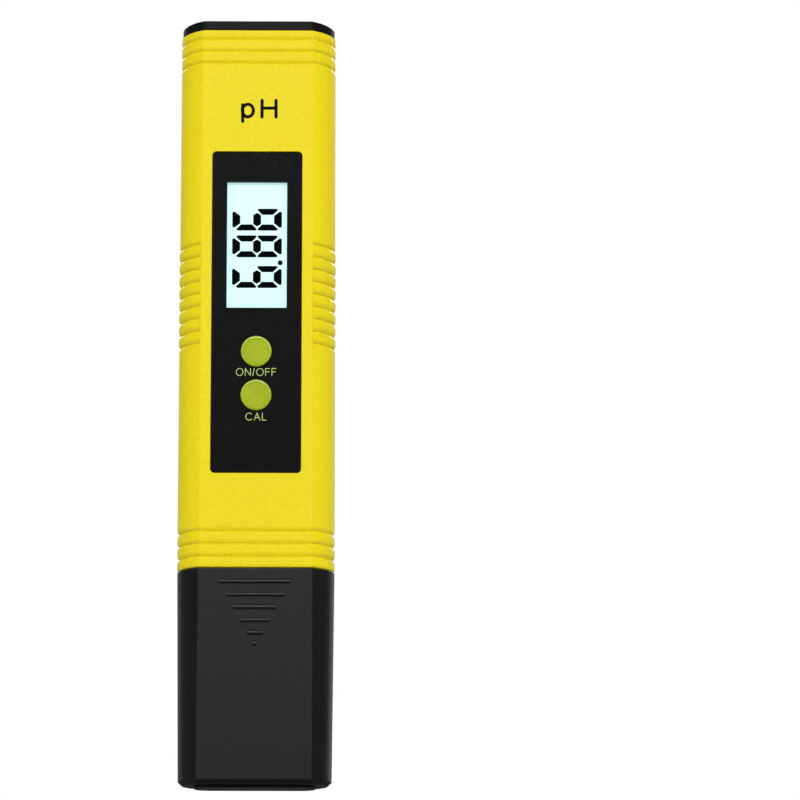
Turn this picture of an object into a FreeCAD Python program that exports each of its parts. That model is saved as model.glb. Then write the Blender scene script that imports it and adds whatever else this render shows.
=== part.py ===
"""Pocket pH meter: a flat pen-shaped instrument standing upright in its protective cap.

Millimetres. +Z is up, the display faces -Y, and the pocket clip is on the +Y side.
The origin is on the underside of the cap's foot, on the axis of the pen's section.
"""
import FreeCAD
import Part
import math
import os

from FreeCAD import Vector

# ---------------------------------------------------------------- driving dimensions
# Section of the pen: flat front and rear, joined by one circular arc on each side.
half_depth = 9.5
flat_half_width = 11.05
shell_half_width_top = 15.58
shell_half_width_bottom = 15.72
cavity_half_width = 15.5
cap_flat_half_width = 11.3
cap_half_width_bottom = 15.27
cap_half_width_rim = 15.7

# Heights above the foot's underside.
foot_top = 0.5
cap_floor = 2.0
cap_rim = 43.05
shell_bottom = 43.15
shell_top = 152.0
meter_top = 154.0

# Rounding of the moulded edges.
corner_round = 0.5
rim_round = 0.2
shell_foot_round = 0.6
cap_bottom_chamfer = 0.8
lid_round = 0.45
lid_corner_round = 1.6

# Walls and fits.
shell_wall = 2.0
cap_wall = 1.9
running_gap = 0.05
button_gap = 0.1
lid_gap = 0.1

# Front panel and display.
panel_width = 18.0
panel_bottom = 62.05
panel_top = 127.1
panel_corner = 0.9
panel_recess = 1.0
window_width = 12.0
window_bottom = 95.3
window_top = 120.85
window_corner = 0.15
glass_width = 15.0
glass_height = 30.2

# Buttons.
power_height = 86.45
cal_height = 77.65
button_radius = 3.075
button_flange_radius = 3.9
button_face = -10.25
button_round = 0.35
button_dish = 0.14
button_dish_radius = 2.55
switch_size = 6.0

# Ribs: sharp valleys between ribs with round shoulders of this radius.
rib_overshoot = 0.03
bottom_rings = {"first": 50.6, "count": 3, "pitch": 2.55, "depth": 0.52, "shoulder": 1.3}
top_rings = {"first": 150.3, "count": 3, "pitch": 2.45, "depth": 0.42, "shoulder": 1.1}
grip_ribs = {"first": 108.3, "count": 9, "pitch": 2.51, "depth": 0.56, "shoulder": 1.35}
grip_proud = 0.1
grip_end_inset = 0.2

# Rear wall.
thumb_notch_width = 6.25
latch_slot_height = 139.25
latch_slot_width = 8.2
latch_slot_opening = 2.5
screw_height = 130.45
screw_hole_radius = 2.0

# Circuit board and chassis, as depths from front to rear.
board_front = -4.2
board_rear = -3.0
board_bottom = 57.5
board_top = 132.0
board_width = 24.0
chassis_front = -2.9
chassis_rear = -1.4
board_screw_places = ((-9.6, 60.8), (9.6, 60.8), (-9.6, 127.0), (9.6, 127.0))

# Battery drawer.
tray_bottom = 134.5
cell_radius = 5.8
cell_thickness = 5.4
cell_front = -2.45
cell_height = 141.9
cell_offset = 6.05
latch_pivot_height = 149.3
latch_pivot_depth = 6.5

# Electrode.
electrode_radius = 6.5
electrode_wall = 1.1
electrode_bottom = 11.0
electrode_top = 47.0
stem_radius = 3.0
stem_wall = 0.8
stem_top = 51.0
bulb_radius = 4.3
bulb_wall = 0.3
bulb_height = 16.8
spigot_bottom = 33.5
plug_top = 53.0
wire_radius = 0.25
lead_radius = 0.6
reference_offset = 4.2

# Pocket clip.
clip_top = 123.9
clip_tip = 74.3
clip_half_width = 3.93
clip_tip_half_width = 2.12
clip_outer = 12.6
clip_thickness = 1.5
clip_lean = 0.5
clip_nib_drop = 0.6

cell_rear = cell_front + cell_thickness
window_height = window_top - window_bottom
window_centre = (window_top + window_bottom) / 2
panel_height = panel_top - panel_bottom
panel_centre = (panel_top + panel_bottom) / 2
panel_floor = -half_depth + panel_recess
shell_inner_depth = half_depth - shell_wall


# ---------------------------------------------------------------- shapes used throughout
def upright(across, up, depth):
    """Point on a plane that faces the front."""
    return Vector(across, depth, up)


def level(across, along, height):
    """Point on a level plane."""
    return Vector(across, along, height)


def line(start, end):
    return Part.LineSegment(start, end).toShape()


def arc(start, middle, end):
    return Part.Arc(start, middle, end).toShape()


def block(across, depth, height):
    """Box between two values of x, two of y and two of z."""
    size = [high - low for low, high in (across, depth, height)]
    return Part.makeBox(*size, Vector(across[0], depth[0], height[0]))


def rod(radius, start, end):
    start = Vector(*start)
    run = Vector(*end) - start
    return Part.makeCylinder(radius, run.Length, start, run)


def tube(outer, inner, start, end):
    return rod(outer, start, end).cut(rod(inner, start, end))


def rounded_outline(width, height, corner, offset, centre=(0.0, 0.0), plane=upright):
    """Rectangle with round corners, or a slot where the corners use up its short side."""
    arcs = []
    for number, (side, rise) in enumerate(((1, 1), (-1, 1), (-1, -1), (1, -1))):
        middle_across = centre[0] + side * (width / 2 - corner)
        middle_up = centre[1] + rise * (height / 2 - corner)
        turns = [0.0, 45.0, 90.0] if number % 2 == 0 else [90.0, 45.0, 0.0]
        points = []
        for turn in map(math.radians, turns):
            across = middle_across + side * corner * math.cos(turn)
            up = middle_up + rise * corner * math.sin(turn)
            points.append(plane(across, up, offset))
        arcs.append(Part.Arc(*points))
    edges = []
    for bend, following in zip(arcs, arcs[1:] + arcs[:1]):
        edges.append(bend.toShape())
        if (following.StartPoint - bend.EndPoint).Length > 1e-6:
            edges.append(line(bend.EndPoint, following.StartPoint))
    return Part.Wire(edges)


def rounded_plate(width, height, corner, depth, centre):
    """Upright plate with round corners, between two values of y; centre is (x, z)."""
    outline = rounded_outline(width, height, corner, depth[0], centre)
    return Part.Face(outline).extrude(Vector(0, depth[1] - depth[0], 0))


def side_arc(half_width, flat=flat_half_width):
    """Centre and radius of the arc through both flats' edges and the widest point."""
    bulge = half_width - flat
    radius = (half_depth**2 + bulge**2) / (2 * bulge)
    return half_width - radius, radius


def section(half_width, height, inset=0.0, flat=flat_half_width):
    """Outline of the pen at a height, moved inwards by inset all round."""
    centre, radius = side_arc(half_width, flat)
    depth = half_depth - inset
    reach = centre + math.sqrt((radius - inset) ** 2 - depth**2)
    side = half_width - inset
    front_left, front_right = level(-reach, -depth, height), level(reach, -depth, height)
    rear_left, rear_right = level(-reach, depth, height), level(reach, depth, height)
    return Part.Wire([
        line(front_left, front_right),
        arc(front_right, level(side, 0, height), rear_right),
        line(rear_right, rear_left),
        arc(rear_left, level(-side, 0, height), front_left),
    ])


def section_solid(half_width, heights, inset=0.0, flat=flat_half_width):
    outline = section(half_width, heights[0], inset, flat)
    return Part.Face(outline).extrude(Vector(0, 0, heights[1] - heights[0]))


def edges_at(solid, height):
    """Edges that lie wholly at one height."""
    return [
        edge for edge in solid.Edges
        if abs(edge.BoundBox.ZMin - height) < 1e-4 and abs(edge.BoundBox.ZMax - height) < 1e-4
    ]


def corner_edges(solid):
    """The four edges that run up the pen between the flats and the sides."""
    return [edge for edge in solid.Edges if edge.BoundBox.ZLength > 0.9 * solid.BoundBox.ZLength]


def edges_at_depth(solid, depth):
    """Edges that lie wholly at one value of y."""
    return [
        edge for edge in solid.Edges
        if abs(edge.BoundBox.YMin - depth) < 1e-4 and abs(edge.BoundBox.YMax - depth) < 1e-4
    ]


# ---------------------------------------------------------------- ribs
def rib_profile(surface, first, count, pitch, depth, shoulder):
    """Face in the XZ plane, open outwards: a row of sharp valleys between ribs with round shoulders."""
    half = pitch / 2
    drop = depth + rib_overshoot
    run = math.sqrt(2 * shoulder * drop - drop**2)
    half_turn = math.asin(run / shoulder) / 2
    crest = surface + rib_overshoot
    bend = crest - shoulder * (1 - math.cos(half_turn))
    bend_rise = run - shoulder * math.sin(half_turn)
    edges = []
    for number in range(count):
        valley_height = first - number * pitch
        valley = Vector(crest - drop, 0, valley_height)
        upper = Vector(crest, 0, valley_height + run)
        lower = Vector(crest, 0, valley_height - run)
        edges.append(line(Vector(crest, 0, valley_height + half), upper))
        edges.append(arc(upper, Vector(bend, 0, valley_height + bend_rise), valley))
        edges.append(arc(valley, Vector(bend, 0, valley_height - bend_rise), lower))
        edges.append(line(lower, Vector(crest, 0, valley_height - half)))
    outwards = Vector(1, 0, 0)
    top = Vector(crest, 0, first + half)
    bottom = Vector(crest, 0, first - (count - 1) * pitch - half)
    edges.append(line(bottom, bottom + outwards))
    edges.append(line(bottom + outwards, top + outwards))
    edges.append(line(top + outwards, top))
    return Part.Face(Part.Wire(edges))


def shell_half_width(height):
    """The shell is slightly narrower at the top."""
    share = (height - shell_bottom) / (shell_top - shell_bottom)
    return shell_half_width_bottom + share * (shell_half_width_top - shell_half_width_bottom)


def around_sides(profile, centre, half_angle):
    """The profile turned about the vertical axis of each side's arc."""
    start = profile.copy()
    start.rotate(Vector(centre, 0, 0), Vector(0, 0, 1), -half_angle)
    right = start.revolve(Vector(centre, 0, 0), Vector(0, 0, 1), 2 * half_angle)
    left = right.copy()
    left.rotate(Vector(0, 0, 0), Vector(0, 0, 1), 180)
    return [right, left]


def across_flat(profile, turn, length):
    """The profile turned to face a flat and drawn along it."""
    face = profile.copy()
    face.rotate(Vector(0, 0, 0), Vector(0, 0, 1), turn)
    face.translate(Vector(-length / 2, 0, 0))
    return face.extrude(Vector(length, 0, 0))


def band_middle(ribs):
    return ribs["first"] - (ribs["count"] - 1) * ribs["pitch"] / 2


def ring_tools(ribs):
    """Tools for ribs that run all the way round the pen."""
    half_width = shell_half_width(band_middle(ribs))
    centre, radius = side_arc(half_width)
    corner_angle = math.degrees(math.asin(half_depth / radius))
    tools = around_sides(rib_profile(centre + radius, **ribs), centre, corner_angle + 6)
    flat_profile = rib_profile(half_depth, **ribs)
    tools += [across_flat(flat_profile, turn, 2 * flat_half_width + 2) for turn in (-90, 90)]
    return tools


def grip_angle(radius):
    """Half the angle that the grip covers, ending just short of the flats."""
    return math.degrees(math.asin(half_depth / radius) - grip_end_inset / radius)


def grip_pads():
    """Two thin pads on the sides, from which the grip's ribs are cut."""
    centre, radius = side_arc(shell_half_width(band_middle(grip_ribs)))
    top = grip_ribs["first"]
    bottom = top - (grip_ribs["count"] - 1) * grip_ribs["pitch"]
    low, high = centre + radius - 0.5, centre + radius + grip_proud
    corners = [Vector(low, 0, bottom), Vector(high, 0, bottom), Vector(high, 0, top), Vector(low, 0, top)]
    outline = Part.makePolygon(corners + corners[:1])
    return around_sides(Part.Face(outline), centre, grip_angle(radius))


def grip_tools():
    centre, radius = side_arc(shell_half_width(band_middle(grip_ribs)))
    profile = rib_profile(centre + radius + grip_proud, **grip_ribs)
    return around_sides(profile, centre, grip_angle(radius))


# ---------------------------------------------------------------- protective cap
def chevron_bars(face, outwards):
    """Five shrinking bars and a dot, moulded as low round ridges on the cap's flat."""
    proud = 0.26
    wall_height = 0.03
    buried = 0.4
    bar_height = 0.95
    rise = proud - wall_height
    ridge_radius = ((bar_height / 2) ** 2 + rise**2) / (2 * rise)
    ridge_depth = face + outwards * (proud - ridge_radius)
    widths = (14.2, 11.5, 8.7, 5.9, 3.2, bar_height)
    heights = (40.4, 37.8, 35.3, 32.7, 30.2, 28.1)
    bars = []
    for width, height in zip(widths, heights):
        ends = sorted((face - outwards * buried, face + outwards * proud))
        bar = rounded_plate(width, bar_height, bar_height / 2 - 1e-4, ends, (0.0, height))
        ridge = rod(ridge_radius, (-width / 2, ridge_depth, height), (width / 2, ridge_depth, height))
        bars.append(bar.common(ridge))
    return bars


def make_protective_cap():
    lower = section(cap_half_width_bottom, foot_top, flat=cap_flat_half_width)
    upper = section(cap_half_width_rim, cap_rim, flat=cap_flat_half_width)
    body = Part.makeLoft([lower, upper], True, True)
    body = body.makeChamfer(cap_bottom_chamfer, edges_at(body, foot_top))
    body = body.makeFillet(corner_round, corner_edges(body))
    body = body.makeFillet(rim_round, edges_at(body, cap_rim))
    foot_outline = rounded_outline(24.2, 11.0, 3.5, 0.0, plane=level)
    foot = Part.Face(foot_outline).extrude(Vector(0, 0, foot_top + 0.2))
    foot = foot.makeChamfer(0.2, edges_at(foot, 0.0))
    cavity = section_solid(cap_half_width_bottom, (cap_floor, cap_rim + 1), cap_wall, cap_flat_half_width)
    bars = chevron_bars(-half_depth, -1) + chevron_bars(half_depth, 1)
    return body.fuse([foot] + bars).removeSplitter().cut(cavity)


# ---------------------------------------------------------------- shell
def drop_mark():
    """A water drop in a ring, moulded slightly proud of the rear."""
    centre_height = 63.0
    depth = (half_depth - 0.2, half_depth + 0.12)
    line_width = 0.5
    ring_radius = 4.3

    def drop(radius):
        """A round belly drawn up to a point."""
        belly = centre_height - 0.8
        tip = Vector(0, depth[0], belly + 2.2 * radius)
        turn = math.radians(27)
        right = Vector(radius * math.cos(turn), depth[0], belly + radius * math.sin(turn))
        left = Vector(-right.x, right.y, right.z)
        belly_arc = arc(right, Vector(0, depth[0], belly - radius), left)
        outline = Part.Wire([belly_arc, line(left, tip), line(tip, right)])
        return Part.Face(outline).extrude(Vector(0, depth[1] - depth[0], 0))

    start, end = (0, depth[0], centre_height), (0, depth[1], centre_height)
    ring = tube(ring_radius, ring_radius - line_width, start, end)
    return [ring, drop(1.75).cut(drop(1.75 - line_width))]


def make_body_shell():
    lower = section(shell_half_width_bottom, shell_bottom)
    upper = section(shell_half_width_top, shell_top)
    shell = Part.makeLoft([lower, upper], True, True)
    shell = shell.makeFillet(corner_round, corner_edges(shell))
    shell = shell.makeFillet(shell_foot_round, edges_at(shell, shell_bottom))
    shell = shell.makeFillet(rim_round, edges_at(shell, shell_top))
    shell = shell.fuse(grip_pads())
    shell = shell.cut(grip_tools() + ring_tools(bottom_rings) + ring_tools(top_rings))
    cavity = section_solid(cavity_half_width, (shell_bottom - 1, shell_top + 1), shell_wall)
    screw_boss = rod(3.4, (0, 4.0, screw_height), (0, shell_inner_depth + 0.3, screw_height))
    shell = shell.cut(cavity).fuse([screw_boss] + drop_mark())
    panel_seat = rounded_plate(
        panel_width + 0.1, panel_height + 0.1, panel_corner,
        (-half_depth - 1, panel_floor), (0.0, panel_centre),
    )
    glass_opening = rounded_plate(
        glass_width + 0.4, glass_height + 0.4, 0.5,
        (-half_depth, -shell_inner_depth + 0.5), (0.0, window_centre),
    )
    notch_bottom = top_rings["first"]
    thumb_notch = rounded_plate(
        thumb_notch_width, 2 * (shell_top - notch_bottom), 0.3,
        (half_depth - top_rings["depth"], half_depth + 1), (0.0, shell_top),
    )
    openings = [panel_seat, glass_opening, thumb_notch]
    for height in (power_height, cal_height):
        openings.append(rod(button_radius + button_gap, (0, -half_depth, height), (0, -6.5, height)))
    openings.append(rounded_plate(
        latch_slot_width, latch_slot_opening, latch_slot_opening / 2 - 1e-4,
        (shell_inner_depth - 0.5, half_depth + 1), (0.0, latch_slot_height),
    ))
    openings.append(rod(screw_hole_radius, (0, 5.2, screw_height), (0, half_depth + 1, screw_height)))
    openings.append(rod(1.3, (0, 3.5, screw_height), (0, 5.5, screw_height)))
    return shell.cut(openings)


# ---------------------------------------------------------------- front panel and display
def make_front_panel():
    depth = (-half_depth + 0.08, panel_floor)
    plate = rounded_plate(panel_width - 0.1, panel_height - 0.1, panel_corner, depth, (0.0, panel_centre))
    plate = plate.makeChamfer(0.25, edges_at_depth(plate, depth[0]))
    cuts = [rounded_plate(
        window_width, window_height, window_corner, (-half_depth - 1, -8), (0.0, window_centre),
    )]
    for height in (power_height, cal_height):
        cuts.append(rod(button_radius + button_gap, (0, -half_depth - 1, height), (0, -8, height)))
    return plate.cut(cuts)


def make_display_window():
    depth = (-half_depth + 0.11, panel_floor - 0.04)
    size = (window_width - 0.04, window_height - 0.04)
    return rounded_plate(*size, window_corner, depth, (0.0, window_centre))


glass_front = panel_floor + 0.02
glass_plate = 0.7
rear_glass_width = 11.6
rear_glass_height = 27.6


def make_lcd_glass():
    """Front plate with bare contact ledges at its sides, and a narrower rear plate."""
    half_height = glass_height / 2
    front_plate = block(
        (-glass_width / 2, glass_width / 2), (glass_front, glass_front + glass_plate),
        (window_centre - half_height, window_centre + half_height),
    )
    half_height = rear_glass_height / 2
    rear_plate = block(
        (-rear_glass_width / 2, rear_glass_width / 2),
        (glass_front + glass_plate, glass_front + 2 * glass_plate),
        (window_centre - half_height, window_centre + half_height),
    )
    return front_plate.fuse(rear_plate)


def make_lcd_reflector():
    rear = glass_front + 2 * glass_plate
    half_height = rear_glass_height / 2
    return block(
        (-rear_glass_width / 2, rear_glass_width / 2), (rear, rear + 0.15),
        (window_centre - half_height, window_centre + half_height),
    )


def make_zebra_strips():
    """Elastomer strips that join the display's contact ledges to the board."""
    strips = []
    for side in (-1, 1):
        across = sorted((side * 6.1, side * 7.3))
        strips.append(block(across, (glass_front + glass_plate, board_front),
                            (window_centre - 13, window_centre + 13)))
    return Part.makeCompound(strips)


def make_lcd_holder():
    """Frame that carries the display's ends and keeps the strips upright."""
    outer = block((-9.5, 9.5), (-7.0, board_front), (window_centre - 16.5, window_centre + 16.5))
    inner = block((-7.5, 7.5), (-8, board_front + 1), (window_centre - 14, window_centre + 14))
    return outer.cut(inner)


# ---------------------------------------------------------------- buttons and switches
flange_front = -shell_inner_depth + 0.1
flange_rear = -6.75
switch_top = -6.2
plunger_radius = 1.6


def make_button(height):
    """Round key, dished inside its rim, with a flange that stays behind the shell."""
    key = rod(button_radius, (0, button_face, height), (0, flange_rear, height))
    key = key.makeFillet(button_round, edges_at_depth(key, button_face))
    dish = Part.makeCone(
        button_dish_radius + button_dish, button_dish_radius - button_dish, 2 * button_dish,
        Vector(0, button_face - button_dish, height), Vector(0, 1, 0),
    )
    return key.cut(dish).fuse(rod(button_flange_radius, (0, flange_front, height), (0, flange_rear, height)))


def make_plunger(height):
    return rod(plunger_radius, (0, flange_rear, height), (0, flange_rear + 1.45, height))


def make_switch_body(height):
    """Tactile switch, bored for its plunger."""
    half = switch_size / 2
    body = block((-half, half), (switch_top, board_front), (height - half, height + half))
    return body.cut(rod(plunger_radius + 0.07, (0, switch_top - 1, height), (0, board_front - 0.4, height)))


# ---------------------------------------------------------------- board and chassis
def make_main_board():
    board = block((-board_width / 2, board_width / 2), (board_front, board_rear), (board_bottom, board_top))
    holes = [
        rod(0.8, (across, board_front - 1, height), (across, board_rear + 1, height))
        for across, height in board_screw_places
    ]
    return board.cut(holes)


def make_microcontroller():
    body = block((-3.5, 3.5), (board_rear, board_rear + 1.2), (99.5, 106.5))
    return body.makeChamfer(0.2, edges_at_depth(body, board_rear + 1.2))


def make_amplifier_chip():
    body = block((-2.5, 2.5), (board_rear, board_rear + 1.5), (73.0, 77.0))
    return body.makeChamfer(0.2, edges_at_depth(body, board_rear + 1.5))


def make_crystal():
    return rod(1.0, (5.5, board_rear + 1.0, 107.0), (5.5, board_rear + 1.0, 113.0))


def chip_row(places, length, breadth, thickness):
    """Small surface-mounted blocks on the rear of the board."""
    blocks = []
    for across, height in places:
        blocks.append(block(
            (across - length / 2, across + length / 2), (board_rear, board_rear + thickness),
            (height - breadth / 2, height + breadth / 2),
        ))
    return Part.makeCompound(blocks)


def make_capacitors():
    places = [(-6.0, height) for height in (69.0, 81.0, 93.0, 105.0)] + [(6.0, 81.0), (0.0, 111.0)]
    return chip_row(places, 2.0, 1.25, 1.0)


def make_resistors():
    places = [(across, height) for height in (84.0, 87.0, 90.0) for across in (-2.0, 2.0, 6.0)]
    return chip_row(places, 1.6, 0.8, 0.45)


def make_board_screws():
    screws = []
    for across, height in board_screw_places:
        head = rod(1.5, (across, board_front - 1.1, height), (across, board_front, height))
        shank = rod(0.75, (across, board_front - 0.5, height), (across, chassis_rear - 0.2, height))
        screws.append(head.fuse(shank))
    return Part.makeCompound(screws)


def make_inner_chassis():
    """Open frame behind the board, with a tongue and a screw boss at its top."""
    depth = (chassis_front, chassis_rear)
    frame = block((-11.0, 11.0), depth, (59.0, 129.0))
    tongue = block((-4.2, 4.2), depth, (119.0, 133.4))
    boss = rod(3.0, (0, chassis_rear - 0.5, screw_height), (0, 3.95, screw_height))
    cuts = [block((-8.2, 8.2), (-4, 0), (63.0, 118.0))]
    cuts += [block(sorted((side * 4.2, side * 8.2)), (-4, 0), (122.0, 130.0)) for side in (-1, 1)]
    holes = [rod(1.15, (0, -1.0, screw_height), (0, 5.0, screw_height))]
    for across, height in board_screw_places:
        holes.append(rod(0.8, (across, chassis_front - 1, height), (across, chassis_rear + 1, height)))
    return frame.cut(cuts).fuse([tongue, boss]).cut(holes)


def make_chassis_screw():
    """Cross-head screw, deep in its hole in the rear."""
    head = rod(1.85, (0, 5.2, screw_height), (0, 6.5, screw_height))
    shank = rod(1.1, (0, -0.8, screw_height), (0, 5.4, screw_height))
    across = block((-1.1, 1.1), (5.9, 7.0), (screw_height - 0.22, screw_height + 0.22))
    upward = block((-0.22, 0.22), (5.9, 7.0), (screw_height - 1.1, screw_height + 1.1))
    return head.fuse(shank).cut([across, upward])


def make_battery_contacts():
    """Two flat springs that rise from the board past the cells."""
    leaves = []
    for side in (-1, 1):
        middle = side * cell_offset
        leaves.append(block((middle - 1.5, middle + 1.5), (board_rear, board_rear + 0.25), (126.0, 144.0)))
    return Part.makeCompound(leaves)


# ---------------------------------------------------------------- battery drawer
def make_battery_cap():
    lid = section_solid(shell_half_width_top, (shell_top + lid_gap, meter_top), 0.2)
    lid = lid.makeFillet(lid_corner_round, corner_edges(lid))
    return lid.makeFillet(lid_round, edges_at(lid, meter_top))


def make_battery_tray():
    """Block that fills the shell's mouth, with round pockets for the cells."""
    inset = shell_wall + running_gap
    tray = section_solid(cavity_half_width, (tray_bottom, shell_top + lid_gap), inset)
    cuts = []
    for side in (-1, 1):
        middle = side * cell_offset
        cuts.append(rod(cell_radius + 0.05, (middle, -8, cell_height), (middle, cell_rear, cell_height)))
        cuts.append(block((middle - 1.8, middle + 1.8), (-8, cell_front + 0.05), (tray_bottom - 1, 138.0)))
    cuts.append(block((-9.1, 9.1), (cell_rear - 0.5, cell_rear + 0.3), (138.9, 145.1)))
    cuts.append(block((-4.4, 4.4), (4.6, 8.0), (136.3, 150.3)))
    return tray.cut(cuts)


def make_cell_link():
    """Plate that joins the two cells in series."""
    return block((-9.0, 9.0), (cell_rear, cell_rear + 0.25), (139.0, 145.0))


def make_button_cell(side, facing):
    """A can with a smaller terminal on one face; facing is -1 for a terminal in front."""
    middle = side * cell_offset
    step = 0.4
    faces = (cell_front, cell_rear)
    can = (faces[0] + step, faces[1]) if facing < 0 else (faces[0], faces[1] - step)
    solid = rod(cell_radius, (middle, can[0], cell_height), (middle, can[1], cell_height))
    return solid.fuse(rod(4.9, (middle, faces[0], cell_height), (middle, faces[1], cell_height)))


def make_battery_latch():
    """Springy tongue whose bar shows in the slot in the rear."""
    depth = (latch_pivot_depth - 0.5, latch_pivot_depth + 0.5)
    tongue = block((-4.0, 4.0), depth, (137.6, latch_pivot_height))
    root = rod(0.6, (-4.0, latch_pivot_depth, latch_pivot_height), (4.0, latch_pivot_depth, latch_pivot_height))
    bar = rounded_plate(7.8, 2.1, 1.0, (depth[1] - 0.2, shell_inner_depth - 0.08), (0.0, latch_slot_height))
    return tongue.fuse([root, bar])


# ---------------------------------------------------------------- electrode
def make_probe_collar():
    """Plug in the shell's foot, and the spigot that the protective cap fits over."""
    plug = section_solid(cavity_half_width, (shell_bottom, plug_top), shell_wall + running_gap)
    spigot = section_solid(
        cap_half_width_bottom, (spigot_bottom, shell_bottom),
        cap_wall + running_gap, cap_flat_half_width,
    )
    bore = rod(electrode_radius + running_gap, (0, 0, spigot_bottom - 1), (0, 0, plug_top + 1))
    return plug.fuse(spigot).cut([bore, seal_ring(1.5)])


def seal_ring(outer_inset):
    """Ring round the spigot, between two heights."""
    heights = (37.2, 38.8)
    outer = section_solid(cap_half_width_bottom, heights, outer_inset, cap_flat_half_width)
    return outer.cut(section_solid(cap_half_width_bottom, heights, 3.0, cap_flat_half_width))


def make_collar_seal():
    return seal_ring(cap_wall + running_gap)


def make_electrode_body():
    """Plastic tube, cut away at its end into four legs that guard the bulb."""
    body = tube(electrode_radius, electrode_radius - electrode_wall, (0, 0, electrode_bottom), (0, 0, electrode_top))
    window = 2.6
    heights = (electrode_bottom - 1, 19.5)
    return body.cut([block((-window, window), (-8, 8), heights), block((-8, 8), (-window, window), heights)])


def bulb_top():
    """Height at which the bulb has narrowed to the stem's radius."""
    return bulb_height + math.sqrt(bulb_radius**2 - stem_radius**2)


def make_glass_bulb():
    """Thin round membrane, open at the top into the stem."""
    ball = Part.makeSphere(bulb_radius, Vector(0, 0, bulb_height))
    hollow = Part.makeSphere(bulb_radius - bulb_wall, Vector(0, 0, bulb_height))
    above = block((-8, 8), (-8, 8), (bulb_top(), bulb_top() + 8))
    return ball.cut([hollow, above])


def make_glass_stem():
    return tube(stem_radius, stem_radius - stem_wall, (0, 0, bulb_top()), (0, 0, stem_top))


def annulus(low, high):
    """Ring between the stem and the electrode's plastic tube."""
    outer = electrode_radius - electrode_wall - running_gap
    return tube(outer, stem_radius + running_gap, (0, 0, low), (0, 0, high))


def make_reference_junction():
    return annulus(21.0, 24.0)


def make_electrode_seal():
    """Potting that closes the reference chamber, with a hole for its wire."""
    return annulus(44.0, electrode_top).cut(
        rod(wire_radius + 0.02, (reference_offset, 0, 43), (reference_offset, 0, 48)))


def make_electrode_leads():
    """Two insulated leads that rise behind the chassis and turn in to the board."""
    bend = 1.5
    start, turn_height = 54.0, 66.0
    leads = []
    for across in (0.0, reference_offset):
        corner = Vector(across, -bend * (1 - math.sqrt(0.5)), turn_height + bend * math.sqrt(0.5))
        path = Part.Wire([
            line(Vector(across, 0, start), Vector(across, 0, turn_height)),
            arc(Vector(across, 0, turn_height), corner, Vector(across, -bend, turn_height + bend)),
            line(Vector(across, -bend, turn_height + bend), Vector(across, board_rear, turn_height + bend)),
        ])
        circle = Part.makeCircle(lead_radius, Vector(across, 0, start), Vector(0, 0, 1))
        leads.append(path.makePipeShell([Part.Wire([circle])], True, False))
    return Part.makeCompound(leads)


# ---------------------------------------------------------------- pocket clip
def make_pocket_clip():
    """Tapered arm that stands off the rear on a root block, with a nib under its tip."""
    arm = clip_side_view(2 * clip_half_width + 2).common(clip_front_view())
    return arm.fuse(clip_nib()).removeSplitter()


def clip_side_view(width):
    """The arm and its root block seen from the side, drawn out to a width."""
    root_face = half_depth + running_gap
    root_bottom = 117.6
    inner = clip_outer - clip_thickness
    corner = 0.7
    bulge = corner * (1 - math.sqrt(0.5))
    tip_outer = clip_outer - clip_lean
    tip_inner = inner - clip_lean
    arm_tip = clip_tip + clip_nib_drop
    crown = (Vector(0, clip_outer - corner, clip_top),
             Vector(0, clip_outer - bulge, clip_top - bulge),
             Vector(0, clip_outer, clip_top - corner))
    fillet = (Vector(0, inner, root_bottom - corner),
              Vector(0, inner - bulge, root_bottom - bulge),
              Vector(0, inner - corner, root_bottom))
    tip = (Vector(0, tip_outer, arm_tip + corner),
           Vector(0, tip_outer - bulge, arm_tip + bulge),
           Vector(0, tip_outer - corner, arm_tip))
    root_low, root_high = Vector(0, root_face, root_bottom), Vector(0, root_face, clip_top)
    inner_tip = Vector(0, tip_inner, arm_tip)
    outline = Part.Wire([
        line(root_high, crown[0]),
        arc(*crown),
        line(crown[2], tip[0]),
        arc(*tip),
        line(tip[2], inner_tip),
        line(inner_tip, fillet[0]),
        arc(*fillet),
        line(fillet[2], root_low),
        line(root_low, root_high),
    ])
    side_view = Part.Face(outline).extrude(Vector(width, 0, 0))
    side_view.translate(Vector(-width / 2, 0, 0))
    return side_view


def clip_front_view():
    """The arm's outline from behind: parallel at the top, then tapering to a round tip."""
    corner = 0.8
    arm_tip = clip_tip + clip_nib_drop
    taper_top = clip_top - 6.0
    taper_bottom = arm_tip + clip_tip_half_width
    bulge = corner * (1 - math.sqrt(0.5))
    depth = half_depth
    right = [
        upright(clip_half_width - corner, clip_top, depth),
        upright(clip_half_width - bulge, clip_top - bulge, depth),
        upright(clip_half_width, clip_top - corner, depth),
        upright(clip_half_width, taper_top, depth),
        upright(clip_tip_half_width, taper_bottom, depth),
    ]
    left = [Vector(-point.x, point.y, point.z) for point in right]
    edges = [
        line(left[0], right[0]),
        arc(*right[:3]),
        line(right[2], right[3]),
        line(right[3], right[4]),
        arc(right[4], upright(0, arm_tip, depth), left[4]),
        line(left[4], left[3]),
        line(left[3], left[2]),
        arc(left[2], left[1], left[0]),
    ]
    return Part.Face(Part.Wire(edges)).extrude(Vector(0, 6, 0))


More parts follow.
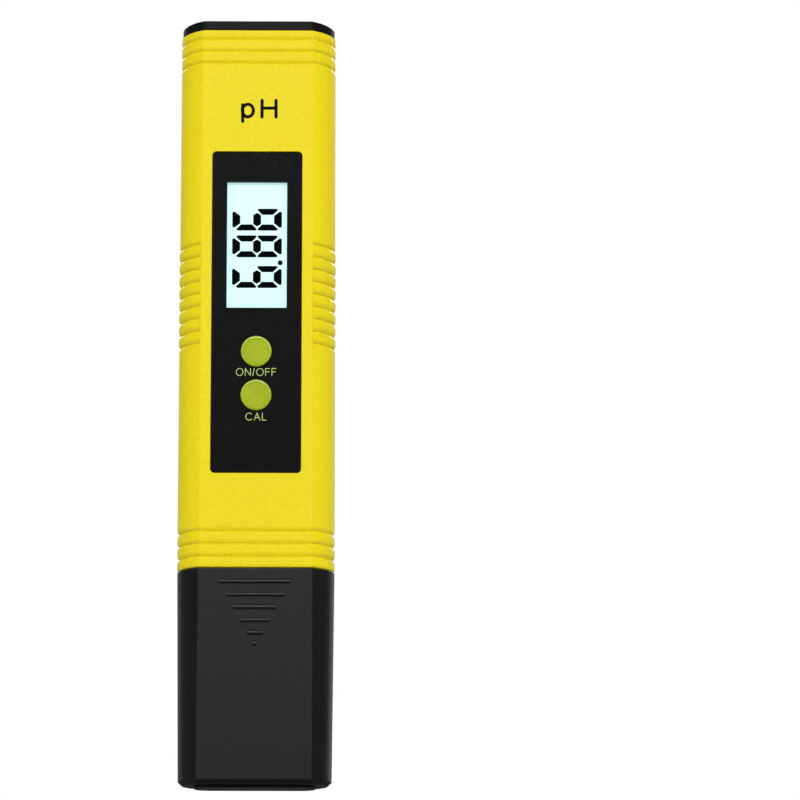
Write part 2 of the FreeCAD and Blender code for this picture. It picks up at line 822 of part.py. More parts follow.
def clip_nib():
    """Wedge under the tip that presses on the shell, narrower at its lower edge."""
    bottom_half_width, top_half_width = 0.9, 1.7
    top = clip_tip + 3.4
    near_shell = half_depth + running_gap + 0.1
    under_arm = clip_outer - clip_lean - clip_thickness / 2
    front_view = Part.makePolygon([
        upright(-bottom_half_width, clip_tip, half_depth),
        upright(bottom_half_width, clip_tip, half_depth),
        upright(top_half_width, top, half_depth),
        upright(-top_half_width, top, half_depth),
        upright(-bottom_half_width, clip_tip, half_depth),
    ])
    prism = Part.Face(front_view).extrude(Vector(0, 6, 0))
    low, middle, high = (Vector(-3, near_shell, clip_tip + 0.4),
                         Vector(-3, near_shell, clip_tip + 1.4),
                         Vector(-3, under_arm, top))
    side = Part.makePolygon([low, middle, high, Vector(-3, under_arm, clip_tip),
                             Vector(-3, near_shell + 0.5, clip_tip), low])
    return prism.common(Part.Face(side).extrude(Vector(6, 0, 0)))


# ---------------------------------------------------------------- the pieces
pieces = {
    "protective_cap": make_protective_cap(),
    "body_shell": make_body_shell(),
    "front_panel": make_front_panel(),
    "display_window": make_display_window(),
    "lcd_glass": make_lcd_glass(),
    "lcd_reflector": make_lcd_reflector(),
    "zebra_strips": make_zebra_strips(),
    "lcd_holder": make_lcd_holder(),
    "power_button": make_button(power_height),
    "cal_button": make_button(cal_height),
    "power_plunger": make_plunger(power_height),
    "cal_plunger": make_plunger(cal_height),
    "power_switch_body": make_switch_body(power_height),
    "cal_switch_body": make_switch_body(cal_height),
    "main_board": make_main_board(),
    "microcontroller": make_microcontroller(),
    "amplifier_chip": make_amplifier_chip(),
    "crystal": make_crystal(),
    "capacitors": make_capacitors(),
    "resistors": make_resistors(),
    "board_screws": make_board_screws(),
    "inner_chassis": make_inner_chassis(),
    "chassis_screw": make_chassis_screw(),
    "battery_contacts": make_battery_contacts(),
    "battery_cap": make_battery_cap(),
    "battery_tray": make_battery_tray(),
    "cell_link": make_cell_link(),
    "button_cell_left": make_button_cell(-1, -1),
    "button_cell_right": make_button_cell(1, 1),
    "battery_latch": make_battery_latch(),
    "probe_collar": make_probe_collar(),
    "collar_seal": make_collar_seal(),
    "electrode_body": make_electrode_body(),
    "glass_bulb": make_glass_bulb(),
    "glass_stem": make_glass_stem(),
    "reference_junction": make_reference_junction(),
    "electrode_seal": make_electrode_seal(),
    "measuring_wire": rod(wire_radius, (0, 0, bulb_height), (0, 0, 54.0)),
    "reference_wire": rod(wire_radius, (reference_offset, 0, 27.0), (reference_offset, 0, 54.0)),
    "electrode_leads": make_electrode_leads(),
    "pocket_clip": make_pocket_clip(),
}

os.makedirs("parts", exist_ok=True)
for name, shape in pieces.items():
    solids = shape.Solids
    if not shape.isValid() or not solids:
        raise ValueError(f"{name} is not a valid solid")
    print(f"{name:22s} solids {len(solids)}  volume {shape.Volume:10.2f} mm3")
    (solids[0] if len(solids) == 1 else Part.makeCompound(solids)).exportStep(f"parts/{name}.step")
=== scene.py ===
"""Looks of a pen-shaped digital pH meter, built round its CAD frame.

The scene is in metres, with +Z up and the display towards -Y. Print is laid out in millimetres.
"""
import math

import bpy
from mathutils import Euler, Matrix, Vector


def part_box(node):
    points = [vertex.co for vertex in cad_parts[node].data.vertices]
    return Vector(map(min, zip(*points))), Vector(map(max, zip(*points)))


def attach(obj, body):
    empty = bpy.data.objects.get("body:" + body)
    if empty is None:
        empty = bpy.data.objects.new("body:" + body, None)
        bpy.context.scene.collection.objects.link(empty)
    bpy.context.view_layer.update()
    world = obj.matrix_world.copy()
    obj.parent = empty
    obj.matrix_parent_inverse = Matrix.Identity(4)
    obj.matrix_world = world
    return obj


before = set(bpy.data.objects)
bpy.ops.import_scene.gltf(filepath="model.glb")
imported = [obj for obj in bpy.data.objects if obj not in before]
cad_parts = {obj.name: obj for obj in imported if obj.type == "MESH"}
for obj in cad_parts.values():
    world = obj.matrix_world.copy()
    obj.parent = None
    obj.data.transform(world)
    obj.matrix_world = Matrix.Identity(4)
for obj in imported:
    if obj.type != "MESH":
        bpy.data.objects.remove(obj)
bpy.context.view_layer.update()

MM = 0.001
NOISE_LOW, NOISE_HIGH = 0.3, 0.7  # nearly all values of a noise texture lie between these
# Sockets of a Mix node that mixes colours.
MIX_FACTOR, MIX_FIRST, MIX_SECOND, MIX_RESULT = 0, 6, 7, 2


# ---------------------------------------------------------------- materials
class Surface:
    """A procedural material under construction. Its texture space is the piece's own, in metres."""

    def __init__(self, name, **settings):
        self.material = bpy.data.materials.new(name)
        self.material.use_nodes = True
        self.tree = self.material.node_tree
        self.shader = self.tree.nodes["Principled BSDF"]
        self.place = self.node("ShaderNodeTexCoord").outputs["Object"]
        for socket, value in settings.items():
            self.shader.inputs[socket.replace("_", " ")].default_value = value

    def node(self, kind, **settings):
        made = self.tree.nodes.new(kind)
        for key, value in settings.items():
            setattr(made, key, value)
        return made

    def join(self, source, target):
        self.tree.links.new(source, target)

    def noise(self, size_mm, detail=2.0, stretch=(1.0, 1.0, 1.0), fine=0.5):
        """Noise with spots about size_mm across, longer along an axis whose stretch is above 1.

        Fine is how much of each finer octave shows.
        """
        mapping = self.node("ShaderNodeMapping")
        mapping.inputs["Scale"].default_value = [1.0 / (size_mm * MM * s) for s in stretch]
        texture = self.node("ShaderNodeTexNoise")
        texture.inputs["Scale"].default_value = 1.0
        texture.inputs["Detail"].default_value = detail
        texture.inputs["Roughness"].default_value = fine
        self.join(self.place, mapping.inputs["Vector"])
        self.join(mapping.outputs["Vector"], texture.inputs["Vector"])
        return texture.outputs["Fac"]

    def cells(self, size_mm):
        """Distance to the nearest of scattered points about size_mm apart."""
        texture = self.node("ShaderNodeTexVoronoi")
        texture.inputs["Scale"].default_value = 1.0 / (size_mm * MM)
        self.join(self.place, texture.inputs["Vector"])
        return texture.outputs["Distance"]

    def spread(self, source, low, high, from_low=NOISE_LOW, from_high=NOISE_HIGH):
        """A value between from_low and from_high turned into one between low and high."""
        ranger = self.node("ShaderNodeMapRange")
        ranger.inputs["From Min"].default_value = from_low
        ranger.inputs["From Max"].default_value = from_high
        ranger.inputs["To Min"].default_value = low
        ranger.inputs["To Max"].default_value = high
        self.join(source, ranger.inputs["Value"])
        return ranger.outputs["Result"]

    def colours(self, source, first, second):
        """The shader's colour runs from first to second as source rises."""
        mix = self.node("ShaderNodeMix", data_type="RGBA")
        mix.inputs[MIX_FIRST].default_value = (*first, 1.0)
        mix.inputs[MIX_SECOND].default_value = (*second, 1.0)
        self.join(self.spread(source, 0.0, 1.0), mix.inputs[MIX_FACTOR])
        self.join(mix.outputs[MIX_RESULT], self.shader.inputs["Base Color"])

    def roughness(self, source, low, high):
        self.join(self.spread(source, low, high), self.shader.inputs["Roughness"])

    def bump(self, *layers):
        """Bumps in layers: (height source, depth in mm, strength)."""
        normal = None
        for source, depth_mm, strength in layers:
            bump = self.node("ShaderNodeBump")
            bump.inputs["Strength"].default_value = strength
            bump.inputs["Distance"].default_value = depth_mm * MM
            self.join(source, bump.inputs["Height"])
            if normal is not None:
                self.join(normal, bump.inputs["Normal"])
            normal = bump.outputs["Normal"]
        self.join(normal, self.shader.inputs["Normal"])


def shade(colour, factor):
    return tuple(min(1.0, channel * factor) for channel in colour)


def moulded(name, colour, rough, grain_mm=0.22, grain=0.25, drift=0.04, **settings):
    """Injection-moulded plastic: spark-eroded grain, faint mottle and uneven gloss."""
    surface = Surface(name, **settings)
    mottle = surface.noise(0.8, 3.0, (1, 1, 1.3), fine=0.7)
    surface.colours(mottle, shade(colour, 1 - drift), shade(colour, 1 + drift))
    surface.roughness(surface.noise(0.6, 3.0), rough - 0.03, rough + 0.03)
    surface.bump(
        (surface.noise(4.0, 1.0), 0.01, 0.12),
        (surface.noise(grain_mm, 3.0), 0.014, grain),
    )
    return surface.material


def polished(name, colour, rough, drift=0.03, **settings):
    """Smooth plastic with a faint orange peel."""
    surface = Surface(name, **settings)
    surface.colours(surface.noise(3.0, 2.0), shade(colour, 1 - drift), shade(colour, 1 + drift))
    surface.roughness(surface.noise(0.8, 3.0), rough - 0.03, rough + 0.03)
    surface.bump((surface.noise(0.7, 2.0), 0.006, 0.15))
    return surface.material


def metal(name, colour, rough, stretch=(1, 1, 14)):
    """Metal with fine drawn lines along one axis."""
    surface = Surface(name, Metallic=1.0)
    lines = surface.noise(0.05, 3.0, stretch)
    surface.colours(lines, shade(colour, 0.88), shade(colour, 1.05))
    surface.roughness(lines, rough - 0.08, rough + 0.1)
    surface.bump((lines, 0.004, 0.2))
    return surface.material


def clear(name, tint, alpha, rough):
    """Thin clear plastic or glass: mostly see-through, with its own gloss."""
    surface = Surface(name, Alpha=alpha, IOR=1.5)
    surface.colours(surface.noise(4.0), shade(tint, 0.97), tint)
    surface.roughness(surface.noise(1.5), rough * 0.7, rough * 1.3)
    surface.bump((surface.noise(1.8), 0.003, 0.1))
    return surface.material


def display_material():
    """Pale blue-green display with the fine sparkle of its reflector, and a painted glow: though it
    is no lamp, it emits light so that it looks brightly lit.
    """
    painted_glow = (0.56, 1.0, 0.99, 1.0)
    # Painted light: the emission makes the unlit display glow as if lit by the studio lamps.
    surface = Surface("display_face_painted_glow", Emission_Strength=0.58, Emission_Color=painted_glow)
    surface.colours(surface.noise(0.06, 2.0), (0.40, 0.56, 0.55), (0.44, 0.60, 0.59))
    surface.roughness(surface.noise(0.5), 0.35, 0.45)
    surface.bump((surface.noise(0.08), 0.002, 0.1))
    return surface.material


def board_material():
    """Green solder mask over copper tracks."""
    surface = Surface("board_green", Coat_Weight=0.4)
    tracks = surface.noise(1.2, 0.0, (1, 1, 6))
    surface.colours(tracks, (0.012, 0.14, 0.055), (0.02, 0.24, 0.09))
    surface.roughness(surface.noise(0.4), 0.25, 0.4)
    surface.bump((tracks, 0.03, 0.5))
    return surface.material


def ceramic_material():
    surface = Surface("component_ceramic")
    surface.colours(surface.noise(0.3, 3.0), (0.42, 0.30, 0.18), (0.58, 0.45, 0.30))
    surface.roughness(surface.noise(0.2), 0.45, 0.65)
    surface.bump((surface.noise(0.1), 0.006, 0.3))
    return surface.material


def porous_material():
    """Porous white junction: open pores between fused grains."""
    surface = Surface("porous_white", Roughness=0.9)
    pores = surface.cells(0.25)
    surface.colours(pores, (0.62, 0.60, 0.55), (0.88, 0.87, 0.83))
    surface.bump((pores, 0.06, 0.7))
    return surface.material


def rubber_material():
    surface = Surface("seal_rubber")
    surface.colours(surface.noise(0.6, 3.0), (0.012, 0.012, 0.012), (0.024, 0.024, 0.024))
    surface.roughness(surface.noise(0.5), 0.55, 0.75)
    surface.bump((surface.noise(0.12, 3.0), 0.01, 0.4))
    return surface.material


def ink(name, colour, rough, gloss=0.06):
    """Screen-printed ink, slightly uneven in cover."""
    surface = Surface(name, Specular_IOR_Level=gloss)
    surface.colours(surface.noise(0.25, 3.0), shade(colour, 0.85), shade(colour, 1.1))
    surface.roughness(surface.noise(0.3), rough - 0.08, rough + 0.08)
    surface.bump((surface.noise(0.12, 2.0), 0.004, 0.3))
    return surface.material


YELLOW = (0.735, 0.602, 0.0105)
BLACK = (0.006, 0.006, 0.0062)
CLIP_BLACK = (0.0075, 0.0075, 0.0077)
LIME = (0.335, 0.422, 0.013)
materials = {
    "yellow": moulded(
        "yellow_plastic", YELLOW, 0.42,
        grain_mm=0.16, grain=0.45, drift=0.045, Specular_IOR_Level=0.12,
    ),
    "cap": moulded(
        "cap_black", BLACK, 0.4, grain_mm=0.3, drift=0.25, Specular_IOR_Level=0.33,
    ),
    "lid": moulded("lid_black", BLACK, 0.4, drift=0.08, Specular_IOR_Level=0.07),
    "clip": moulded(
        "clip_black", CLIP_BLACK, 0.42, grain_mm=0.18, drift=0.08, Specular_IOR_Level=0.14,
    ),
    "panel": polished("panel_black", (0.005, 0.005, 0.005), 0.12, Specular_IOR_Level=0.35),
    "key": polished("key_lime", LIME, 0.16, drift=0.06, Specular_IOR_Level=0.8),
    "inner": moulded("inner_black", (0.012, 0.012, 0.0125), 0.5, Specular_IOR_Level=0.25),
    "white": moulded("holder_white", (0.78, 0.78, 0.76), 0.5),
    "chip": moulded("chip_epoxy", (0.02, 0.02, 0.022), 0.55, grain_mm=0.1),
    "potting": polished("potting_epoxy", (0.07, 0.07, 0.08), 0.3),
    "sleeve": polished("lead_sleeve", (0.04, 0.04, 0.045), 0.4),
    "steel": metal("plated_steel", (0.62, 0.62, 0.61), 0.3, (1, 14, 1)),
    "black_steel": metal("black_zinc", (0.014, 0.014, 0.015), 0.4, (1, 1, 1)),
    "brass": metal("gilt_brass", (0.83, 0.63, 0.30), 0.28),
    "silver": metal("silver_wire", (0.72, 0.70, 0.66), 0.35),
    "foil": metal("reflector_foil", (0.80, 0.82, 0.81), 0.5, (1, 1, 1)),
    "window": clear("window_clear", (0.02, 0.022, 0.022), 0.02, 0.12),
    "glass": clear("electrode_glass", (0.86, 0.94, 0.94), 0.26, 0.06),
    "display": display_material(),
    "board": board_material(),
    "ceramic": ceramic_material(),
    "porous": porous_material(),
    "rubber": rubber_material(),
    "black_ink": ink("ink_black", (0.003, 0.003, 0.003), 0.5, gloss=0.03),
    "lime_ink": ink("ink_lime", (0.47, 0.60, 0.17), 0.45),
    "crystal_ink": ink("liquid_crystal", (0.0006, 0.0006, 0.0008), 0.5, gloss=0.01),
}

node_materials = {
    "yellow": ["body_shell"],
    "cap": ["protective_cap"],
    "lid": ["battery_cap"],
    "clip": ["pocket_clip"],
    "panel": ["front_panel"],
    "key": ["power_button", "cal_button"],
    "inner": ["battery_tray", "battery_latch", "probe_collar", "electrode_body", "inner_chassis"],
    "white": ["lcd_holder"],
    "chip": [
        "microcontroller", "amplifier_chip", "power_switch_body", "cal_switch_body",
        "power_plunger", "cal_plunger",
    ],
    "potting": ["electrode_seal"],
    "sleeve": ["electrode_leads"],
    "steel": ["board_screws", "crystal", "button_cell_left", "button_cell_right"],
    "black_steel": ["chassis_screw"],
    "brass": ["battery_contacts", "cell_link"],
    "silver": ["measuring_wire", "reference_wire"],
    "foil": ["lcd_reflector"],
    "window": ["display_window"],
    "glass": ["glass_bulb", "glass_stem"],
    "display": ["lcd_glass"],
    "board": ["main_board"],
    "ceramic": ["capacitors", "resistors"],
    "porous": ["reference_junction"],
    "rubber": ["collar_seal", "zebra_strips"],
}
for material_name, nodes in node_materials.items():
    for node in nodes:
        for material_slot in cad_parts[node].material_slots:
            material_slot.material = materials[material_name]


# ---------------------------------------------------------------- flat print
class Sheet:
    """A flat place for print. Across and up are unit directions; print faces the reader."""

    def __init__(self, origin, across, up):
        self.origin = Vector(origin)
        self.across = Vector(across)
        self.up = Vector(up)
        self.out = self.across.cross(self.up)

    def point(self, place, height):
        """place is (across, up) and height stands off the sheet, all in millimetres."""
        return self.origin + (self.across * place[0] + self.up * place[1] + self.out * height) * MM


def direction(start, end):
    run = Vector(end) - Vector(start)
    return run.normalized()


def stroke_sides(points, width, closed):
    """Points on the left and right of a line, half the width away."""
    count = len(points)
    left, right = [], []
    for number, point in enumerate(points):
        before = points[number - 1] if number or closed else point
        after = points[(number + 1) % count] if number < count - 1 or closed else point
        along = direction(before, after)
        aside = Vector((-along.y, along.x)) * width / 2
        left.append(Vector(point) + aside)
        right.append(Vector(point) - aside)
    return left, right


def round_end(centre, start_angle, width, steps=7):
    """Points of a half circle, without its two ends, turning clockwise."""
    turns = [start_angle - math.pi * step / (steps + 1) for step in range(1, steps + 1)]
    return [Vector(centre) + Vector((math.cos(t), math.sin(t))) * width / 2 for t in turns]


def stroke_outline(points, width):
    """Outline of an open line with round ends."""
    left, right = stroke_sides(points, width, False)
    end = direction(points[-2], points[-1])
    start = direction(points[1], points[0])
    far = round_end(points[-1], math.atan2(end.x, -end.y), width)
    near = round_end(points[0], math.atan2(start.x, -start.y), width)
    return left + far + right[::-1] + near


def add_prism(vertices, faces, sheet, outline, heights):
    """Closed flat plate with this outline."""
    first, count = len(vertices), len(outline)
    for height in heights:
        vertices += [sheet.point(place, height) for place in outline]
    low = list(range(first, first + count))
    high = list(range(first + count, first + 2 * count))
    faces.append(high)
    faces.append(low[::-1])
    for number in range(count):
        after = (number + 1) % count
        faces.append([low[number], low[after], high[after], high[number]])


def add_ring(vertices, faces, sheet, outer, inner, heights):
    """Closed flat ring between two outlines with the same number of points."""
    first, count = len(vertices), len(outer)
    for outline in (outer, inner):
        for height in heights:
            vertices += [sheet.point(place, height) for place in outline]
    loops = [list(range(first + k * count, first + (k + 1) * count)) for k in range(4)]
    outer_low, outer_high, inner_low, inner_high = loops
    walls = (
        (outer_low, outer_high),
        (outer_high, inner_high),
        (inner_high, inner_low),
        (inner_low, outer_low),
    )
    for one, other in walls:
        for number in range(count):
            after = (number + 1) % count
            faces.append([one[number], one[after], other[after], other[number]])


def make_piece(name, vertices, faces, material, body):
    mesh = bpy.data.meshes.new(name)
    mesh.from_pydata(vertices, [], faces)
    mesh.materials.append(materials[material])
    mesh.update()
    piece = bpy.data.objects.new(name, mesh)
    bpy.context.scene.collection.objects.link(piece)
    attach(piece, body)


def print_strokes(name, sheet, strokes, width, material, body, thickness=0.02):
    """One piece from lines of ink. A stroke whose last point is its first is a closed ring.

    Each stroke is a little thicker than the last, so that no two tops lie in one plane.
    """
    vertices, faces = [], []
    for number, points in enumerate(strokes):
        heights = (0.0, thickness * (1 + 0.04 * number))
        if points[0] == points[-1]:
            left, right = stroke_sides(points[:-1], width, True)
            add_ring(vertices, faces, sheet, right, left, heights)
        else:
            add_prism(vertices, faces, sheet, stroke_outline(points, width), heights)
    make_piece(name, vertices, faces, material, body)


def oval(centre, across, up, start=0.0, end=360.0, steps=40):
    """Points on an ellipse, anticlockwise from start to end in degrees, closed if all round."""
    points = []
    for step in range(steps + 1):
        turn = math.radians(start + (end - start) * step / steps)
        points.append((centre[0] + across * math.cos(turn), centre[1] + up * math.sin(turn)))
    if end - start == 360.0:
        points[-1] = points[0]
    return points


# A glyph is its width and its strokes, for a capital height of 1.
GLYPHS = {
    "O": (0.92, [oval((0.46, 0.5), 0.46, 0.5)]),
    "N": (0.71, [[(0, 0), (0, 1)], [(0, 1), (0.71, 0)], [(0.71, 0), (0.71, 1)]]),
    "/": (0.21, [[(0, 0), (0.21, 1)]]),
    "F": (0.56, [[(0, 0), (0, 1)], [(0, 1), (0.56, 1)], [(0, 0.53), (0.50, 0.53)]]),
    "C": (0.84, [oval((0.46, 0.5), 0.46, 0.5, 42, 318)]),
    "A": (0.80, [[(0, 0), (0.40, 1)], [(0.40, 1), (0.80, 0)], [(0.14, 0.35), (0.66, 0.35)]]),
    "L": (0.50, [[(0, 1), (0, 0)], [(0, 0), (0.50, 0)]]),
    "0": (0.60, [oval((0.30, 0.5), 0.30, 0.5)]),
    "1": (0.28, [[(0, 0.78), (0.24, 1)], [(0.24, 1), (0.24, 0)]]),
    "2": (0.60, [oval((0.30, 0.70), 0.29, 0.30, 0, 175, 20)[::-1] + [(0.53, 0.5), (0.02, 0)],
                 [(0.02, 0), (0.60, 0)]]),
    "4": (0.66, [[(0.48, 0), (0.48, 1)], [(0.48, 1), (0, 0.3)], [(0, 0.3), (0.66, 0.3)]]),
    "6": (0.60, [oval((0.30, 0.32), 0.29, 0.32), oval((0.55, 0.36), 0.54, 0.64, 95, 185, 16)]),
    "8": (0.60, [oval((0.30, 0.75), 0.25, 0.25), oval((0.30, 0.25), 0.30, 0.27)]),
}


def text_strokes(text, height, gap, centre):
    """Strokes of a centred line of text, with gap as a share of its height between glyphs."""
    widths = [GLYPHS[character][0] for character in text]
    total = (sum(widths) + gap * (len(text) - 1)) * height
    left = centre[0] - total / 2
    strokes = []
    for character, width in zip(text, widths):
        for points in GLYPHS[character][1]:
            strokes.append([(left + x * height, centre[1] + (y - 0.5) * height) for x, y in points])
        left += (width + gap) * height
    return strokes


def middle(node):
    low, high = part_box(node)
    return (low + high) / 2


# ---------------------------------------------------------------- print on the front
panel_low, panel_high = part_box("front_panel")
panel_face = panel_low.y
front_face = panel_face - 0.08 * MM  # the panel lies this far behind the shell's front


def front_sheet(depth, height):
    return Sheet((0, depth, height), (1, 0, 0), (0, 0, 1))


def print_ph():
    """The letters pH above the panel, in round strokes; heights are from the panel's top edge."""
    stroke_width = 0.64
    stem_across, bowl_centre = -3.00, (-1.97, 8.42)
    left_across, right_across = 0.87, 3.68
    top, bottom, bar_height = 10.53, 7.10, 8.93
    strokes = [
        oval(bowl_centre, 1.10, 1.28, steps=56),
        [(stem_across, 9.60), (stem_across, 6.20)],
        [(left_across, top), (left_across, bottom)],
        [(right_across, top), (right_across, bottom)],
        [(left_across, bar_height), (right_across, bar_height)],
    ]
    sheet = front_sheet(front_face, panel_high.z)
    print_strokes("print_ph", sheet, strokes, stroke_width, "black_ink", "handset")


# Name, text, the key above it, and the text's middle below the key's.
KEY_LABELS = (
    ("label_on_off", "ON/OFF", "power_button", 4.15),
    ("label_cal", "CAL", "cal_button", 4.32),
)


def print_key_labels():
    """Labels under the two keys, on the panel."""
    capital, gap, stroke_width, thickness = 1.44, 0.32, 0.145, 0.015
    for name, text, key, drop in KEY_LABELS:
        sheet = front_sheet(panel_face, middle(key).z)
        strokes = text_strokes(text, capital, gap, (0.0, -drop))
        print_strokes(
            name, sheet, strokes, stroke_width, "lime_ink", "handset", thickness,
        )


# ---------------------------------------------------------------- display digits
DIGIT_HEIGHT = 9.93
DIGIT_WIDTH = 4.46
END_BAR = 1.59
SIDE_BAR = 1.25
MIDDLE_BAR = 1.58
DIGIT_THICKNESS = 0.025
DIGIT_SEGMENTS = {"6": "acdefg", "8": "abcdefg"}
# Each digit of the reading and where it starts along the display, from the window's middle.
READING = (("6", -8.6), ("8", -2.38), ("6", 3.07))
POINT_PLACE = -3.48
POINT_RADIUS = 0.51


def turned_over(outline):
    return [(x, DIGIT_HEIGHT - y) for x, y in outline[::-1]]


def mirrored(outline):
    return [(DIGIT_WIDTH - x, y) for x, y in outline[::-1]]


def segment_outlines():
    """Outlines of the seven segments, a to g, from a digit's lower left corner."""
    outer, tip, inner = 0.79, 0.54, 1.47
    tip_height, inner_height = DIGIT_HEIGHT - 0.36, DIGIT_HEIGHT - END_BAR
    top = [
        (outer, DIGIT_HEIGHT),
        (tip, tip_height),
        (inner, inner_height),
        (DIGIT_WIDTH - inner, inner_height),
        (DIGIT_WIDTH - tip, tip_height),
        (DIGIT_WIDTH - outer, DIGIT_HEIGHT),
    ]
    half, side_tip = DIGIT_HEIGHT / 2, 0.27
    lower_left = [
        (0.0, 1.11),
        (side_tip, 0.75),
        (SIDE_BAR, 1.77),
        (SIDE_BAR, 3.98),
        (side_tip, half - 0.04),
        (0.0, 4.68),
    ]
    point, shoulder = 0.84, 1.30
    centre = [
        (point, half),
        (shoulder, half - MIDDLE_BAR / 2),
        (DIGIT_WIDTH - shoulder, half - MIDDLE_BAR / 2),
        (DIGIT_WIDTH - point, half),
        (DIGIT_WIDTH - shoulder, half + MIDDLE_BAR / 2),
        (shoulder, half + MIDDLE_BAR / 2),
    ]
    return {
        "a": top,
        "b": mirrored(turned_over(lower_left)),
        "c": mirrored(lower_left),
        "d": turned_over(top),
        "e": lower_left,
        "f": turned_over(lower_left),
        "g": centre,
    }


def make_digits():
    """The reading 6.86, which runs up the display with its tops to the left."""
    window = middle("display_window")
    glass_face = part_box("lcd_glass")[0].y
    sheet = Sheet((window.x, glass_face, window.z), (0, 0, 1), (-1, 0, 0))
    base = -DIGIT_HEIGHT / 2
    vertices, faces = [], []
    outlines = segment_outlines()
    heights = (0.0, DIGIT_THICKNESS)
    for digit, start in READING:
        for segment in DIGIT_SEGMENTS[digit]:
            outline = [(start + x, base + y) for x, y in outlines[segment]]
            add_prism(vertices, faces, sheet, outline, heights)
    point = oval((POINT_PLACE, base + 0.30), POINT_RADIUS, POINT_RADIUS, steps=28)[:-1]
    add_prism(vertices, faces, sheet, point, heights)
    make_piece("display_digits", vertices, faces, "crystal_ink", "handset")


# ---------------------------------------------------------------- print on the rear
clip_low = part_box("pocket_clip")[0]
rear_face = clip_low.y - 0.05 * MM  # the clip's root stands this far off the shell's rear
rear_sheet = Sheet((0, rear_face, clip_low.z), (-1, 0, 0), (0, 0, 1))


def print_beaker():
    """Plain beaker pictogram, partly behind the clip; heights are from the clip's lower end."""
    half, bottom, top, corner, lip = 4.1, 3.4, 15.4, 1.0, 0.9
    level_height, mark_heights = 10.6, (5.6, 7.3, 9.0)
    wall = [(-half - lip, top), (-half, top - lip), (-half, bottom + corner)]
    wall += oval((-half + corner, bottom + corner), corner, corner, 180, 270, 8)[1:]
    wall += oval((half - corner, bottom + corner), corner, corner, 270, 360, 8)
    wall += [(half, top - lip), (half + lip, top)]
    level = [(-half + 0.6, level_height), (half - 0.6, level_height)]
    marks = [[(half - 1.5, height), (half - 0.1, height)] for height in mark_heights]
    strokes = [wall, level] + marks
    print_strokes(
        "print_beaker", rear_sheet, strokes, 0.42, "black_ink", "handset",
    )


def print_scale():
    """Tick scale from 0 to 14 under the pictogram, with even numbers."""
    step, count, line = 1.28, 14, 2.35
    long_tick, short_tick = 0.95, 0.55
    capital, gap, number_height = 1.25, 0.22, -0.35
    left = -step * count / 2
    strokes = [[(left, line), (-left, line)]]
    numbers = []
    for number in range(count + 1):
        across = left + step * number
        even = number % 2 == 0
        strokes.append([(across, line), (across, line - (long_tick if even else short_tick))])
        if even:
            numbers += text_strokes(str(number), capital, gap, (across, number_height))
    print_strokes("print_scale", rear_sheet, strokes, 0.2, "black_ink", "handset")
    print_strokes(
        "print_numbers", rear_sheet, numbers, 0.21, "black_ink", "handset",
    )


print_ph()
print_key_labels()
make_digits()
print_beaker()
print_scale()


# ---------------------------------------------------------------- floor, light and camera
FLOOR_HALF = 1.5
FADE_START, FADE_END = 0.35, 1.1  # distances from the meter between which the floor fades away


def make_floor():
    """Pale floor that fades into the backdrop.

    It shows from above only, because the camera looks up from below it.
    """
    half = FLOOR_HALF
    corners = [(-half, -half, 0), (half, -half, 0), (half, half, 0), (-half, half, 0)]
    mesh = bpy.data.meshes.new("floor")
    mesh.from_pydata(corners, [], [(0, 1, 2, 3)])
    surface = Surface("floor_pale", Roughness=0.7)
    surface.colours(surface.noise(60.0), (0.74, 0.74, 0.73), (0.77, 0.77, 0.76))
    reach = surface.node("ShaderNodeVectorMath", operation="LENGTH")
    surface.join(surface.place, reach.inputs[0])
    hidden = surface.node("ShaderNodeMath", operation="MAXIMUM")
    faded = surface.spread(reach.outputs["Value"], 0.0, 1.0, FADE_START, FADE_END)
    surface.join(faded, hidden.inputs[0])
    surface.join(surface.node("ShaderNodeNewGeometry").outputs["Backfacing"], hidden.inputs[1])
    see_through = surface.node("ShaderNodeBsdfTransparent").outputs[0]
    mix = surface.node("ShaderNodeMixShader")
    surface.join(hidden.outputs[0], mix.inputs[0])
    surface.join(surface.shader.outputs[0], mix.inputs[1])
    surface.join(see_through, mix.inputs[2])
    surface.join(mix.outputs[0], surface.tree.nodes["Material Output"].inputs["Surface"])
    mesh.materials.append(surface.material)
    floor = bpy.data.objects.new("floor", mesh)
    floor.visible_glossy = False
    bpy.context.scene.collection.objects.link(floor)


WHITE = (1.0, 1.0, 1.0, 1.0)


def make_world(strength, backdrop):
    """Even studio light of one strength, behind it a white backdrop that only the camera sees."""
    world = bpy.data.worlds.new("studio")
    world.use_nodes = True
    bpy.context.scene.world = world
    nodes, links = world.node_tree.nodes, world.node_tree.links
    dim = nodes["Background"]
    dim.inputs["Color"].default_value = WHITE
    dim.inputs["Strength"].default_value = strength
    bright = nodes.new("ShaderNodeBackground")
    bright.inputs["Color"].default_value = WHITE
    bright.inputs["Strength"].default_value = backdrop
    mix = nodes.new("ShaderNodeMixShader")
    path = nodes.new("ShaderNodeLightPath")
    links.new(path.outputs["Is Camera Ray"], mix.inputs[0])
    links.new(dim.outputs[0], mix.inputs[1])
    links.new(bright.outputs[0], mix.inputs[2])
    links.new(mix.outputs[0], nodes["World Output"].inputs["Surface"])


LAMP_DISTANCE = 1.1
LAMP_CENTRE = Vector((0, 0, 0.08))


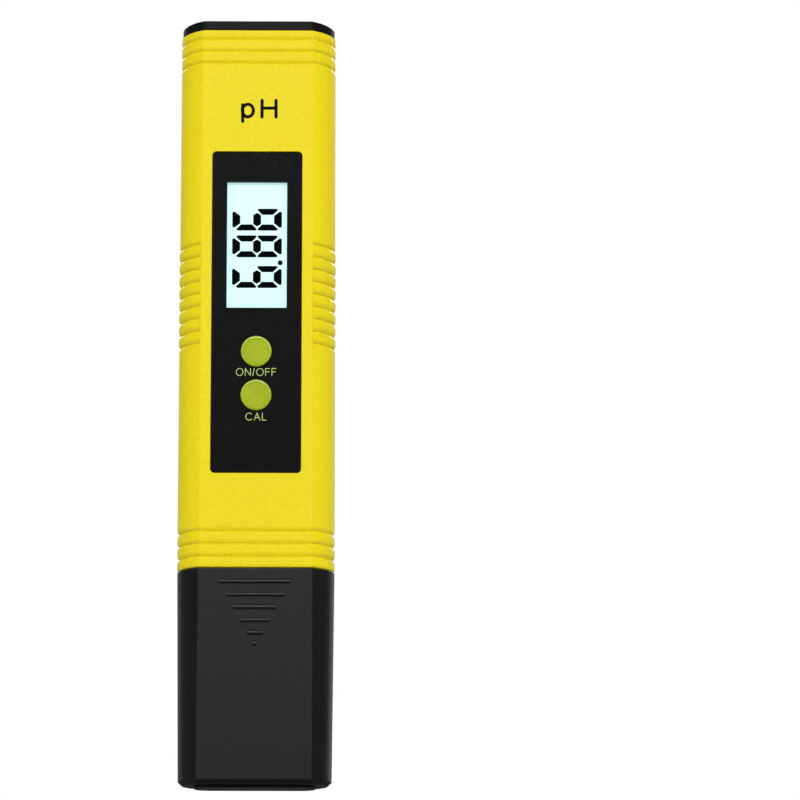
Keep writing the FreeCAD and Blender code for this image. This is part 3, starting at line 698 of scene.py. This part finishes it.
def make_softbox(name, azimuth, elevation, size, power, mirrored=True):
    """Soft light round the meter's middle: degrees, metres and watts.

    Azimuth 0 is in front and 90 on the right as the camera sees it. One that isn't mirrored
    brightens surfaces without showing as a highlight in them.
    """
    azimuth, elevation = math.radians(azimuth), math.radians(elevation)
    level = math.cos(elevation)
    aside = Vector((math.sin(azimuth) * level, -math.cos(azimuth) * level, math.sin(elevation)))
    light = bpy.data.lights.new(name, "AREA")
    light.shape = "RECTANGLE"
    light.size, light.size_y = size
    light.energy = power
    lamp = bpy.data.objects.new(name, light)
    lamp.location = LAMP_CENTRE + aside * LAMP_DISTANCE
    lamp.rotation_euler = (-aside).to_track_quat("-Z", "Y").to_euler()
    lamp.visible_camera = False
    lamp.visible_glossy = mirrored
    bpy.context.scene.collection.objects.link(lamp)


def make_camera():
    """Long lens, a little below the meter's foot, looking up; the meter stands left of centre."""
    aside, distance, height, aim = 0.019, 0.925, -0.065, 0.0782
    yaw, roll = math.radians(-0.604), math.radians(0.07)
    focal_length = 209.54
    data = bpy.data.cameras.new("camera")
    data.lens = focal_length
    data.sensor_width = 36.0
    data.clip_start, data.clip_end = 0.05, 20.0
    camera = bpy.data.objects.new("camera", data)
    pitch = math.atan2(aim - height, distance)
    turn = Matrix.Rotation(yaw, 4, "Z") @ Euler((math.pi / 2 + pitch, 0, 0)).to_matrix().to_4x4()
    turn = turn @ Matrix.Rotation(roll, 4, "Z")
    camera.matrix_world = Matrix.Translation((aside, -distance, height)) @ turn
    bpy.context.scene.collection.objects.link(camera)
    bpy.context.scene.camera = camera


make_floor()
make_world(strength=0.10, backdrop=1.0)
make_softbox("key", 0, 28, (0.9, 0.25), 8.7)
make_softbox("left", -88, 38, (0.4, 0.6), 3.9, mirrored=False)
make_softbox("right", 88, 38, (0.4, 0.6), 4.9, mirrored=False)
make_softbox("strip_left", -44, 8, (0.1, 0.7), 0.9)
make_softbox("strip_right", 44, 8, (0.1, 0.7), 1.0)
make_softbox("back_key", 180, 28, (0.9, 0.25), 11.0)
make_softbox("back_left", -152, 8, (0.3, 0.5), 0.2)
make_softbox("back_right", 152, 8, (0.3, 0.5), 0.4)
make_camera()
bpy.context.scene.view_settings.view_transform = "Standard"
